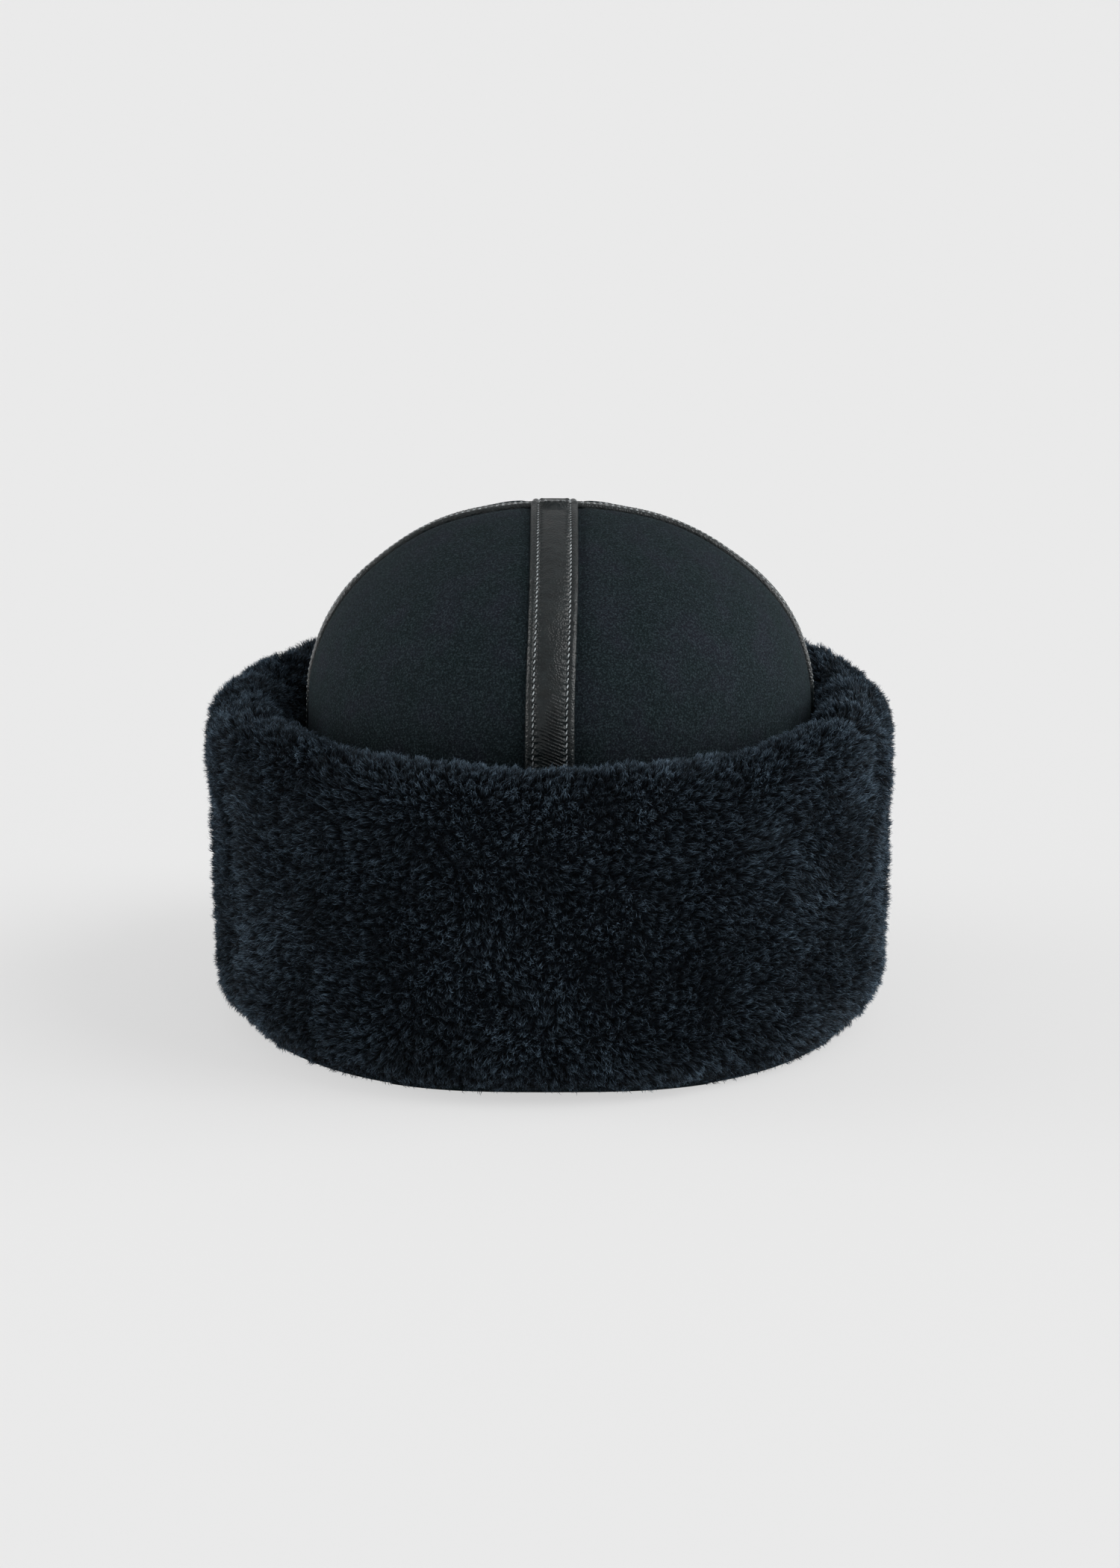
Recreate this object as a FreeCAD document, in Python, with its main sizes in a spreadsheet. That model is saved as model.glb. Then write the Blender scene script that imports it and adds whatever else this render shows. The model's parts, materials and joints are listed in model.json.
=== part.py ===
import FreeCAD
import Part
import Sketcher
import math
import os

# Trapper hat, in millimetres: +Z up, the wearer faces -Y, the wearer's left is +X.
# The origin is on the floor under the middle of the crown.
# The plan is an oval: a half circle in front, a half circle behind and a short straight run
# at each ear, as long as the strap over the top is wide. Each ring shaped piece is one
# section carried round that oval. Angles round it start at the front and grow to the left.

V = FreeCAD.Vector
doc = FreeCAD.newDocument("trapper_hat")

# The driving dimensions: alias, number and what it measures
SIZES = [
    ("crown_radius", 96.0, "outside of the suede, half the width at the ears"),
    ("crown_height", 197.2, "top of the suede above the floor"),
    ("dome_rise", 73.7, "top of the suede above the height where the wall starts to curve in"),
    ("shoulder_radius", 62.0, "radius of the crown's shoulder"),
    ("hide_thick", 2.4, "suede of the crown"),
    ("lining_thick", 8.0, "wool inside the crown"),
    ("rim_lift", 6.0, "height of the suede's lower edge"),
    ("rim_round", 3.4, "rounding of the wool at the rim"),
    ("strap_width", 18.0, "leather strap, and the straight run of the oval"),
    ("strap_thick", 1.6, "leather strap with its folded edges"),
    ("strap_foot", 29.0, "height of the straps' lower ends"),
    ("welt_out", 4.2, "seam welt, out from the crown"),
    ("welt_low", 17.0, "lower edge of the seam welt"),
    ("welt_high", 27.0, "upper edge of the seam welt"),
    ("flap_gap", 0.4, "from a flap to the welt and to the floor"),
    ("fold_radius", 14.4, "roll of hide round the fold line"),
    ("flap_hide", 2.4, "suede of a flap"),
    ("hide_top", 107.0, "top edge of a flap's suede"),
    ("cuff_swell", 16.7, "wool near its foot, out from the fold line"),
    ("roll_radius", 26.0, "radius of the wool's lower roll"),
    ("crest_thick", 32.2, "wool near its crest, out from the face of the flap's suede"),
    ("cuff_height", 127.4, "top of the wool"),
    ("front_split", 54.0, "from the middle to the splits beside the front flap"),
    ("nape_split", 68.0, "from the middle to the splits beside the nape flap"),
    ("split_gap", 2.6, "width of a split"),
]

sheet = doc.addObject("Spreadsheet::Sheet", "Sizes")
for row, (alias, number, note) in enumerate(SIZES, start=1):
    sheet.set("A%d" % row, note)
    sheet.set("B%d" % row, str(number))
    sheet.setAlias("B%d" % row, alias)
doc.recompute()


class Size:
    """A measure: its value now, and the same sum written over the sheet's cells."""

    def __init__(self, value, text):
        self.value = value
        self.text = text

    def __add__(self, other):
        other = size(other)
        return Size(self.value + other.value, "(%s + %s)" % (self.text, other.text))

    def __sub__(self, other):
        other = size(other)
        return Size(self.value - other.value, "(%s - %s)" % (self.text, other.text))

    def __mul__(self, other):
        other = size(other)
        return Size(self.value * other.value, "(%s * %s)" % (self.text, other.text))

    def __truediv__(self, other):
        other = size(other)
        return Size(self.value / other.value, "(%s / %s)" % (self.text, other.text))

    def __neg__(self):
        return size(0) - self

    def root(self):
        return Size(math.sqrt(self.value), "sqrt(%s)" % self.text)


def size(thing):
    """A number, or the alias of a cell, as a Size."""
    if isinstance(thing, Size):
        return thing
    if isinstance(thing, str):
        return Size(float(sheet.get(thing)), "Sizes." + thing)
    return Size(float(thing), repr(float(thing)))


crown_radius = size("crown_radius")
crown_height = size("crown_height")
crown_spring = crown_height - size("dome_rise")
shoulder_radius = size("shoulder_radius")
strap_half = size("strap_width") / 2

# Where a flap's suede faces the crown, and its fold line: how far out and how high
fold_radius = size("fold_radius")
flap_face = crown_radius + size("welt_out") + size("flap_gap")
fold_out = flap_face + fold_radius
fold_height = fold_radius + size("flap_gap")


def body(label):
    """An empty body, labelled with the name of its sub-part."""
    made = doc.addObject("PartDesign::Body", label)
    made.Label = label
    return made


def plane_of(owner, role):
    """One of the body's own origin planes."""
    return [f for f in owner.Origin.OriginFeatures if f.Role == role][0]


def draw(sketch, corners):
    """A closed outline. Each corner is x, y and the edge that leaves it.

    The edge is None where it is straight, or a radius and the way it turns: 1 is to the
    left, -1 to the right. Every corner and radius is bound to the sheet.
    """
    places = [V(size(x).value, size(y).value, 0) for x, y, edge in corners]
    ends = []
    for here, there, (x, y, edge) in zip(places, places[1:] + places[:1], corners):
        if edge is None:
            ends.append((sketch.addGeometry(Part.LineSegment(here, there)), 1, 2))
            continue
        radius, way = size(edge[0]), edge[1]
        chord = there - here
        sag = math.sqrt(radius.value ** 2 - (chord.Length / 2) ** 2)
        left = V(-chord.y, chord.x, 0) / chord.Length
        middle = (here + there) / 2 + left * sag * way
        first, last = (here, there) if way > 0 else (there, here)
        turns = [math.atan2(p.y - middle.y, p.x - middle.x) for p in (first, last)]
        if turns[1] < turns[0]:
            turns[1] += 2 * math.pi
        circle = Part.Circle(middle, V(0, 0, 1), radius.value)
        arc = sketch.addGeometry(Part.ArcOfCircle(circle, *turns))
        bind(sketch, "Radius", (arc,), radius)
        ends.append((arc, 1, 2) if way > 0 else (arc, 2, 1))
    for (geo, start, end), following, (x, y, edge) in zip(ends, ends[1:] + ends[:1], corners):
        sketch.addConstraint(Sketcher.Constraint("Coincident", geo, end, *following[:2]))
        for kind, axis, length in (("DistanceX", -2, size(x)), ("DistanceY", -1, size(y))):
            if abs(length.value) < 1e-9:
                sketch.addConstraint(Sketcher.Constraint("PointOnObject", geo, start, axis))
            else:
                bind(sketch, kind, (-1, 1, geo, start), length)


def bind(sketch, kind, parts, length):
    """A measured constraint that follows the sheet."""
    index = sketch.addConstraint(Sketcher.Constraint(kind, *parts, length.value))
    sketch.setExpression("Constraints[%d]" % index, length.text)


def upright(owner, turn, shift):
    """A sketch on an upright plane: its x runs out from the middle, its y runs up.

    turn is the direction of x, in degrees from +X, and shift moves its foot along Y.
    """
    turn, shift = size(turn), size(shift)
    made = owner.newObject("Sketcher::SketchObject", owner.Label + "_section")
    made.AttachmentSupport = [(plane_of(owner, "XZ_Plane"), "")]
    made.MapMode = "FlatFace"
    made.AttachmentOffset = FreeCAD.Placement(
        V(0, 0, -shift.value), FreeCAD.Rotation(V(0, 1, 0), turn.value))
    made.setExpression("AttachmentOffset.Base.z", (-shift).text)
    made.setExpression("AttachmentOffset.Rotation.Angle", turn.text)
    return made


def carry_round(owner, section, start, end, behind=False):
    """Carry a section round part of the front or the rear half circle of the oval."""
    start, end = size(start), size(end)
    sketch = upright(owner, start - 90, strap_half if behind else -strap_half)
    draw(sketch, section)
    turned = owner.newObject("PartDesign::Revolution", owner.Label + "_turned")
    turned.Profile = sketch
    turned.ReferenceAxis = (sketch, ["V_Axis"])
    turned.Angle = (end - start).value
    turned.setExpression("Angle", (end - start).text)
    doc.recompute()


def carry_along(owner, section, left, start, length):
    """Carry a section along the straight run at one ear, towards the back."""
    sketch = upright(owner, 0 if left else 180, start)
    draw(sketch, section)
    run = owner.newObject("PartDesign::Pad", owner.Label + "_run")
    run.Profile = sketch
    run.Length = size(length).value
    run.setExpression("Length", size(length).text)
    run.Reversed = left
    doc.recompute()


def arch(offset):
    """Heights and radii of the crown's curve, at a distance outside the suede's face.

    A shoulder arc runs into a top arc that is centred on the axis. Returns the shoulder's
    radius, the corner where the two arcs meet and the top arc's radius.
    """
    wide = crown_radius - shoulder_radius
    rise = size("dome_rise")
    top = (wide * wide + rise * rise - shoulder_radius * shoulder_radius) / (
        (rise - shoulder_radius) * 2)
    share = (shoulder_radius + offset) / (top - shoulder_radius)
    meet_x = wide + wide * share
    meet_y = crown_spring + (top - rise) * share
    return shoulder_radius + offset, meet_x, meet_y, top + offset


def shell(outer, inner, foot, sole=()):
    """Half section of a layer of the crown between two distances from the suede's face."""
    outer, inner = size(outer), size(inner)
    side, meet_x, meet_y, top = arch(outer)
    low_side, low_x, low_y, low_top = arch(inner)
    corners = [
        (crown_radius + outer, foot, None),
        (crown_radius + outer, crown_spring, (side, 1)),
        (meet_x, meet_y, (top, 1)),
        (0, crown_height + outer, None),
        (0, crown_height + inner, (low_top, -1)),
        (low_x, low_y, (low_side, -1)),
        (crown_radius + inner, crown_spring, None),
    ]
    if sole:
        return corners + list(sole)
    return corners + [(crown_radius + inner, foot, None)]


def crown_panel(name, left, rear, section):
    """A quarter of the crown: half of a half circle and half of the straight run."""
    piece = body(name)
    quarter = {(True, False): 0, (True, True): 90, (False, True): 180, (False, False): -90}
    start = quarter[(left, rear)]
    carry_round(piece, section, start, start + 90, behind=rear)
    carry_along(piece, section, left, 0 if rear else -strap_half, strap_half)
    return piece


def crown():
    """Four suede panels and the wool on their inner side, which wraps under the suede's edge."""
    suede = -size("hide_thick")
    inner = suede - size("lining_thick")
    lift, bevel = size("rim_lift"), size("rim_round")
    rim = [
        (crown_radius + inner, bevel, (bevel, 1)),
        (crown_radius + inner + bevel, 0, None),
        (crown_radius - bevel, 0, (bevel, 1)),
        (crown_radius, bevel, None),
        (crown_radius, lift, None),
    ]
    hide = shell(0, suede, lift)
    wool = shell(suede, inner, lift, rim)
    for rear in (False, True):
        for left in (True, False):
            place = "%s_%s" % ("rear" if rear else "front", "left" if left else "right")
            crown_panel("crown_%s_hide" % place, left, rear, hide)
            crown_panel("crown_%s_wool" % place, left, rear, wool)


def straps():
    """The strap from ear to ear over the top, and the straps up the front and the back."""
    section = shell("strap_thick", 0, "strap_foot")
    cross = body("cross_strap")
    for left in (True, False):
        carry_along(cross, section, left, -strap_half, "strap_width")
    for rear in (False, True):
        strap = body("rear_strap" if rear else "front_strap")
        start = 90 if rear else -90
        carry_round(strap, section, start, start + 180, behind=rear)
        for way in (1, -1):
            cut_beyond(strap, "X", strap_half * way, way)


def cut_beyond(piece, across, place, way):
    """Cut away all of a piece beyond an upright plane.

    The plane stands across X or across Y at the given place. way is 1 where the far side
    is cut away and -1 where the near side is.
    """
    reach = crown_height * 2
    sketch = piece.newObject("Sketcher::SketchObject", piece.Label + "_beyond")
    sketch.AttachmentSupport = [(plane_of(piece, "YZ_Plane" if across == "X" else "XZ_Plane"), "")]
    sketch.MapMode = "FlatFace"
    height = size(place) if across == "X" else -size(place)
    sketch.setExpression("AttachmentOffset.Base.z", height.text)
    draw(sketch, [(-reach, -reach, None), (reach, -reach, None),
                  (reach, reach, None), (-reach, reach, None)])
    cut = piece.newObject("PartDesign::Pocket", piece.Label + "_cut")
    cut.Profile = sketch
    cut.Length = reach.value
    cut.setExpression("Length", reach.text)
    cut.Reversed = (way > 0) == (across == "X")
    doc.recompute()


def whole_ring(piece, section):
    """Carry a section right round the oval."""
    carry_round(piece, section, -90, 90)
    carry_along(piece, section, True, -strap_half, "strap_width")
    carry_round(piece, section, 90, 270, behind=True)
    carry_along(piece, section, False, -strap_half, "strap_width")


def seam_welt():
    """The strip round the crown's foot that the flaps are sewn to."""
    welt = body("flap_seam_welt")
    out = crown_radius + size("welt_out")
    whole_ring(welt, [
        (crown_radius, "welt_low", None),
        (out, "welt_low", None),
        (out, "welt_high", None),
        (crown_radius, "welt_high", None),
    ])


def flap_sections():
    """Sections of a flap: its suede, which rolls in round the fold line, and its wool."""
    thick, gap, top = size("flap_hide"), size("flap_gap"), size("hide_top")
    roll, inset = size("roll_radius"), size("cuff_swell")
    cuff = fold_out + inset
    crest = size("crest_thick") / 2
    crest_mid = flap_face + crest
    crest_height = size("cuff_height") - crest
    # The lower roll starts at the end of the suede and ends upright at the cuff's outside
    roll_height = gap + (inset * roll * 2 - inset * inset).root()
    back = flap_face + thick
    suede = [
        (flap_face, top, None),
        (flap_face, fold_height, (fold_radius, 1)),
        (fold_out, gap, None),
        (fold_out, gap + thick, (fold_radius - thick, -1)),
        (back, fold_height, None),
        (back, top, None),
    ]
    wool = [
        (fold_out, gap, (roll, 1)),
        (cuff, roll_height, None),
        (crest_mid + crest, crest_height, (crest, 1)),
        (crest_mid, "cuff_height", (crest, 1)),
        (flap_face, crest_height, None),
        (flap_face, top, None),
        (back, top, None),
        (back, fold_height, (fold_radius - thick, 1)),
        (fold_out, gap + thick, None),
    ]
    return suede, wool


def flaps():
    """Front, nape and ear flaps, turned up.

    The splits between them stand across Y, so that an ear flap, which turns about a line
    along Y, never reaches past them.
    """
    split = size("split_gap") / 2
    front, nape = size("front_split"), size("nape_split")
    for layer, section in zip(("hide", "wool"), flap_sections()):
        flap = body("front_flap_" + layer)
        carry_round(flap, section, -90, 90)
        cut_beyond(flap, "Y", -front - split, 1)
        flap = body("nape_flap_" + layer)
        carry_round(flap, section, 90, 270, behind=True)
        cut_beyond(flap, "Y", nape + split, -1)
        for left in (True, False):
            flap = body("%s_ear_flap_%s" % ("left" if left else "right", layer))
            carry_round(flap, section, 0 if left else -90, 90 if left else 0)
            carry_along(flap, section, left, -strap_half, "strap_width")
            carry_round(flap, section, 90 if left else 180, 180 if left else 270, behind=True)
            cut_beyond(flap, "Y", -front + split, -1)
            cut_beyond(flap, "Y", nape - split, 1)


crown()
straps()
seam_welt()
flaps()
doc.recompute()

for thing in doc.Objects:
    if "Invalid" in thing.State or "Error" in thing.State:
        raise RuntimeError("%s did not rebuild: %s" % (thing.Label, thing.State))

os.makedirs("parts", exist_ok=True)
print("fold line: out %.2f mm, up %.2f mm" % (fold_out.value, fold_height.value))
for piece in doc.Objects:
    if piece.TypeId != "PartDesign::Body":
        continue
    shape = piece.Shape
    if shape.isNull() or not shape.isValid():
        raise RuntimeError(piece.Label + " is not a valid solid")
    box = shape.optimalBoundingBox()
    print("%-24s %2d solid %10.0f mm3  x %7.1f %6.1f  y %7.1f %6.1f  z %6.1f %6.1f" % (
        piece.Label, len(shape.Solids), shape.Volume,
        box.XMin, box.XMax, box.YMin, box.YMax, box.ZMin, box.ZMax))
    shape.exportStep("parts/%s.step" % piece.Label)
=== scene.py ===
# %% [markdown]
# # A sheepskin trapper hat
# The hat is a domed crown of four suede panels, leather straps over their seams, and four
# flaps that are turned up into a tall cuff with the wool side out. The CAD model is the frame:
# it fixes every size and every fold line. This first cell loads it, and the ones after it dress
# each solid in a piece that looks like the real skin, leather or wool.

# %% Load the frame
import json
import math

import bmesh
import bpy
import numpy as np
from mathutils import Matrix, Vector

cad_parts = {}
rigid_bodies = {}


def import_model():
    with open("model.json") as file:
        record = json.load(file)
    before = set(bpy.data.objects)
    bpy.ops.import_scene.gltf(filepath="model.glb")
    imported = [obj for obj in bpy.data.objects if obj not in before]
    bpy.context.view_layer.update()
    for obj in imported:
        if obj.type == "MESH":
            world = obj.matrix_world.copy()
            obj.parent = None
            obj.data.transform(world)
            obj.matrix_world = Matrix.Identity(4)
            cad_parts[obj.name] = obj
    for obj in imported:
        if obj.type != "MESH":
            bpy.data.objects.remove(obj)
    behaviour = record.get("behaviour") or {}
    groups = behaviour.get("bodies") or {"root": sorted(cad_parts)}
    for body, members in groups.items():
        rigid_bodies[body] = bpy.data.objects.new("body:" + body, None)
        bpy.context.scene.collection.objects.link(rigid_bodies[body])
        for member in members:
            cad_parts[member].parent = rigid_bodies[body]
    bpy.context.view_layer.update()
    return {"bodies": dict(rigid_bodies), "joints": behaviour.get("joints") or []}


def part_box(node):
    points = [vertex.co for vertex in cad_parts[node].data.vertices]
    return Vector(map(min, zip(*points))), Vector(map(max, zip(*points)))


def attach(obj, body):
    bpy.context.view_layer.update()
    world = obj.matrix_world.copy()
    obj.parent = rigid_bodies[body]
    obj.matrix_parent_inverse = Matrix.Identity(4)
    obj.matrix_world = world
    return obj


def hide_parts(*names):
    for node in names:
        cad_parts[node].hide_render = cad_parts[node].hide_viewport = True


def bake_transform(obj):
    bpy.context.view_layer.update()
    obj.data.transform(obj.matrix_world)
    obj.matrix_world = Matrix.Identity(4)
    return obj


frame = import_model()
print("bodies:", ", ".join(sorted(frame["bodies"])))

# %% [markdown]
# The camera comes first, because every later look at the hat goes through it. The photograph
# looks down on the hat by about fourteen degrees from a metre and a half away. A long lens at
# that distance keeps the cuff's sides nearly parallel, as they are in the picture.

# %% The camera
tilt = math.radians(13.69)
aim = Vector((0.00375, 0.0, 0.0876))
camera = bpy.data.objects.new("camera", bpy.data.cameras.new("camera"))
camera.data.sensor_fit = "VERTICAL"
camera.data.sensor_height = 36.0
camera.data.lens = 88.43
camera.location = aim + 1.5 * Vector((0.0, -math.cos(tilt), math.sin(tilt)))
camera.rotation_euler = (aim - camera.location).to_track_quat("-Z", "Y").to_euler()
bpy.context.scene.collection.objects.link(camera)
bpy.context.scene.camera = camera
bpy.context.scene.view_settings.view_transform = "Standard"
print("camera stands %.2f m from the hat" % (camera.location - aim).length)

# %% [markdown]
# The sizes are read from the CAD solids, so the looks follow the frame if it changes. All the
# shaping below is done in millimetres, which is how such a hat is measured, and it is turned
# into metres only when a mesh is made.

# %% Sizes of the hat, in millimetres


def side_of(node, high, axis):
    """One side of a solid's box: high is 0 for the low side or 1 for the high one."""
    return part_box(node)[high][axis] * 1000


crown_out = side_of("crown_front_left_hide", 1, 0)
crown_top = side_of("crown_front_left_hide", 1, 2)
rim_lift = side_of("crown_front_left_hide", 0, 2)
run_half = side_of("front_strap", 1, 0)
strap_foot = side_of("front_strap", 0, 2)
strap_thick = side_of("front_strap", 1, 2) - crown_top
welt_out = side_of("flap_seam_welt", 1, 0)
welt_low, welt_high = (side_of("flap_seam_welt", high, 2) for high in (0, 1))
hide_top = side_of("front_flap_hide", 1, 2)
crest_out = side_of("left_ear_flap_wool", 1, 0)
cuff_top = side_of("left_ear_flap_wool", 1, 2)
front_end = side_of("front_flap_wool", 1, 1)
ear_ends = [side_of("left_ear_flap_wool", high, 1) for high in (0, 1)]
nape_end = side_of("nape_flap_wool", 0, 1)
fold_out, fold_up = (
    1000 * [j for j in frame["joints"] if j["name"] == "left_ear_flap_fold"][0]["pos_m"][axis]
    for axis in (0, 2))
flap_low = side_of("left_ear_flap_hide", 0, 2)
fold_radius = fold_up - flap_low
flap_face = fold_out - fold_radius
hide_thick, lining_thick, shoulder, dome_rise, roll = 2.4, 8.0, 62.0, 73.7, 26.0
cuff_out = fold_out + 16.7
print("crown %.1f wide and %.1f high, cuff %.1f high" % (2 * crown_out, crown_top, cuff_top))

# %% [markdown]
# Every skin on this hat is one outline carried round an oval, so the outline is the first tool.
# It is a list of corners, out and up, each with the edge that leaves it: None for a straight
# run, or an arc's radius and the way it turns. Blender could spin such a line with its Screw
# modifier, but arrays of numbers let each point also be pushed in, puffed or leaned later.

# %% An outline that can be asked for any place along it


def walk(corners, step):
    """Points about step apart along an open line of straight runs and arcs."""
    line = []
    for (x, y, edge), (next_x, next_y, _) in zip(corners, corners[1:]):
        here, there = np.array([x, y], float), np.array([next_x, next_y], float)
        chord = there - here
        if edge is None:
            count = max(1, round(np.hypot(*chord) / step))
            line.append(here + chord * (np.arange(count) / count)[:, None])
            continue
        radius, way = edge
        half = np.hypot(*chord) / 2
        left = np.array([-chord[1], chord[0]]) / (2 * half)
        middle = (here + there) / 2 + left * way * math.sqrt(max(radius ** 2 - half ** 2, 0))
        first = math.atan2(here[1] - middle[1], here[0] - middle[0])
        last = math.atan2(there[1] - middle[1], there[0] - middle[0])
        turn = ((last - first) * way % (2 * math.pi)) * way
        count = max(2, round(abs(turn) * radius / step))
        angle = first + turn * np.arange(count) / count
        line.append(middle + radius * np.stack([np.cos(angle), np.sin(angle)], 1))
    return np.concatenate(line + [np.array([[corners[-1][0], corners[-1][1]]], float)])


class Outline:
    """A line in an upright plane, with its length, its points and the way out of the skin."""

    def __init__(self, corners, step=0.4):
        self.line = walk(corners, step)
        self.reach = np.concatenate([[0], np.cumsum(np.hypot(*np.diff(self.line, axis=0).T))])
        self.length = self.reach[-1]
        along = np.gradient(self.line, self.reach, axis=0)
        along /= np.linalg.norm(along, axis=1)[:, None]
        self.out = np.stack([along[:, 1], -along[:, 0]], 1)

    def at(self, s, lift=0.0):
        """How far out and how high the line is at s, lifted off the skin."""
        r, z, out_r, out_z = (
            np.interp(s, self.reach, v) for v in (*self.line.T, *self.out.T))
        return r + out_r * lift, z + out_z * lift

    def way_out(self, s):
        """The skin's own direction out of the hat at s, outwards and up."""
        return [np.interp(s, self.reach, v) for v in self.out.T]


def dome(offset, foot):
    """Outline of the crown at a distance from the suede: wall, shoulder arc and top arc."""
    wide = crown_out - shoulder
    top = (wide ** 2 + dome_rise ** 2 - shoulder ** 2) / (2 * (dome_rise - shoulder))
    share = (shoulder + offset) / (top - shoulder)
    spring = crown_top - dome_rise
    return Outline([
        (crown_out + offset, foot, None),
        (crown_out + offset, spring, (shoulder + offset, 1)),
        (wide + wide * share, spring + (top - dome_rise) * share, (top + offset, 1)),
        (0, crown_top + offset, None)])


suede_line = dome(0, rim_lift)
print("one suede panel is %.0f mm from rim to top" % suede_line.length)

# %% [markdown]
# The plan of the hat is an oval: a half circle in front, a half circle behind and a short
# straight run at each ear. A place round the oval is a point on its middle line and a direction
# out of it. Each panel and each flap has its own way round, from 0 at one end to 1 at the other,
# and a flap's ends stand on the flat splits between the flaps, whatever the radius.

# %% Ways round the oval


def quarter(side, end):
    """Way round one crown panel, from the strap at its end to the middle of the ear."""
    def way(a, r):
        turn = np.clip(a / 0.94, 0, 1) * math.pi / 2
        slide = np.clip((a - 0.94) / 0.06, 0, 1)
        return end * run_half * (1 - slide) + 0 * r, side * np.sin(turn) + 0 * r, \
            end * np.cos(turn) * (a < 0.94) + 0 * r
    way.around = crown_out * math.pi / 2 + run_half
    return way


def front_way(a, r):
    """Way round the front flap, from the wearer's right to the left."""
    turn = (2 * a - 1) * np.arccos((-front_end - run_half) / r)
    return -run_half + 0 * turn, np.sin(turn), -np.cos(turn)


def nape_way(a, r):
    """Way round the nape flap, from the wearer's left to the right."""
    turn = (1 - 2 * a) * np.arccos((nape_end - run_half) / r)
    return run_half + 0 * turn, np.sin(turn), np.cos(turn)


def ear_way(side):
    """Way round an ear flap, from the front split to the split at the nape."""
    def way(a, r):
        y = ear_ends[0] + (ear_ends[1] - ear_ends[0]) * a + 0 * r
        middle = np.clip(y, -run_half, run_half)
        across = (y - middle) / r
        return middle, side * np.sqrt(1 - across ** 2), across
    way.around = 128.0
    return way


front_way.around, nape_way.around = 300.0, 276.0


def set_round(way, a, r, z):
    """Points of the hat, for places a round a way, r out of the oval's middle line and z up."""
    middle, out_x, out_y = way(a, r)
    return np.stack([out_x * r, middle + out_y * r, z + 0 * r + 0 * a], -1)


print("the front flap reaches %.0f mm behind the crown's front" % (front_end + fold_out + 9))

# %% [markdown]
# Nothing cut from skin is perfectly smooth, so nearly every piece is stirred by the same soft
# noise: random values on a grid, blended between the grid's corners. It is worked out from the
# place in space, so two pieces that touch are stirred alike and keep touching.

# %% Soft noise


def ripple(points, size, seed=0):
    """Smooth noise from -1 to 1, with lumps about size across."""
    q = points / size + 31.7 * seed
    cell = np.floor(q).astype(np.int64)
    f = q - cell
    f = f * f * (3 - 2 * f)
    total = np.zeros(points.shape[:-1])
    for corner in range(8):
        step = np.array([corner & 1, corner >> 1 & 1, corner >> 2 & 1])
        c = cell + step
        h = c[..., 0] * 73856093 ^ c[..., 1] * 19349663 ^ c[..., 2] * 83492791 ^ seed * 40503
        h = (h ^ (h >> 13)) * 1274126177 & 0xFFFFFFFF
        h = (h ^ (h >> 16)) * 668265263 & 0xFFFFFFFF
        total += (h >> 8 & 0xFFFF) / 32767.5 * np.prod(np.where(step, f, 1 - f), axis=-1)
    return total - 1


def ease(x, low, high):
    """0 below low, 1 above high, and a smooth step between them."""
    t = np.clip((x - low) / (high - low), 0, 1)
    return t * t * (3 - 2 * t)


# %% [markdown]
# In the picture the dome stands a few millimetres towards the wearer's left, while the strap
# and the cuff stay in the middle: the empty crown has slumped a little. Its top also leans back,
# so that hardly more than the edge of the strap over it shows. The same slump is given to
# everything that the crown carries.

# %% The crown's slump
side_slump, top_slump, shoulder_rise, lean_back = 3.75, 1.6, 1.85, 0.13


def slump(points):
    """Move points of the crown sideways, raise its shoulders a little and lean its top back."""
    x, y, z = points[..., 0], points[..., 1], points[..., 2]
    moved = points.copy()
    moved[..., 2] -= lean_back * y * np.exp(-(y / 26) ** 2) * ease(z, 140, 185)
    moved[..., 2] += shoulder_rise * np.exp(-((np.abs(x) - 48) / 24) ** 2) * ease(z, 130, 165)
    share = (x / crown_out) ** 2 * ease(z, 60, 125)
    moved[..., 0] += side_slump * share + top_slump * ease(z, 130, 192)
    return moved


# %% [markdown]
# A skin is two grids of points, its face and its back, closed all round by its cut edges. One
# builder makes all of them, so every piece is a closed body that could be printed. Points that
# fall together at the top of the dome are merged.

# %% From grids of points to closed meshes


def quads(a, b, c, d):
    """Faces of four corners each, from four arrays of point numbers."""
    return np.stack([a, b, c, d], -1).reshape(-1, 4)


def closed_skin(face, back):
    """Points and faces of the closed body between two grids of points of the same shape."""
    n, m = face.shape[:2]
    here = np.arange(n * m).reshape(n, m)
    there = here + n * m
    faces = [quads(g[:-1, :-1], g[:-1, 1:], g[1:, 1:], g[1:, :-1]) for g in (here, there)]
    for edge in (np.s_[0], np.s_[-1], np.s_[:, 0], np.s_[:, -1]):
        a, b = here[edge], there[edge]
        faces.append(quads(a[:-1], a[1:], b[1:], b[:-1]))
    return np.concatenate([face.reshape(-1, 3), back.reshape(-1, 3)]), np.concatenate(faces)


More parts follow.
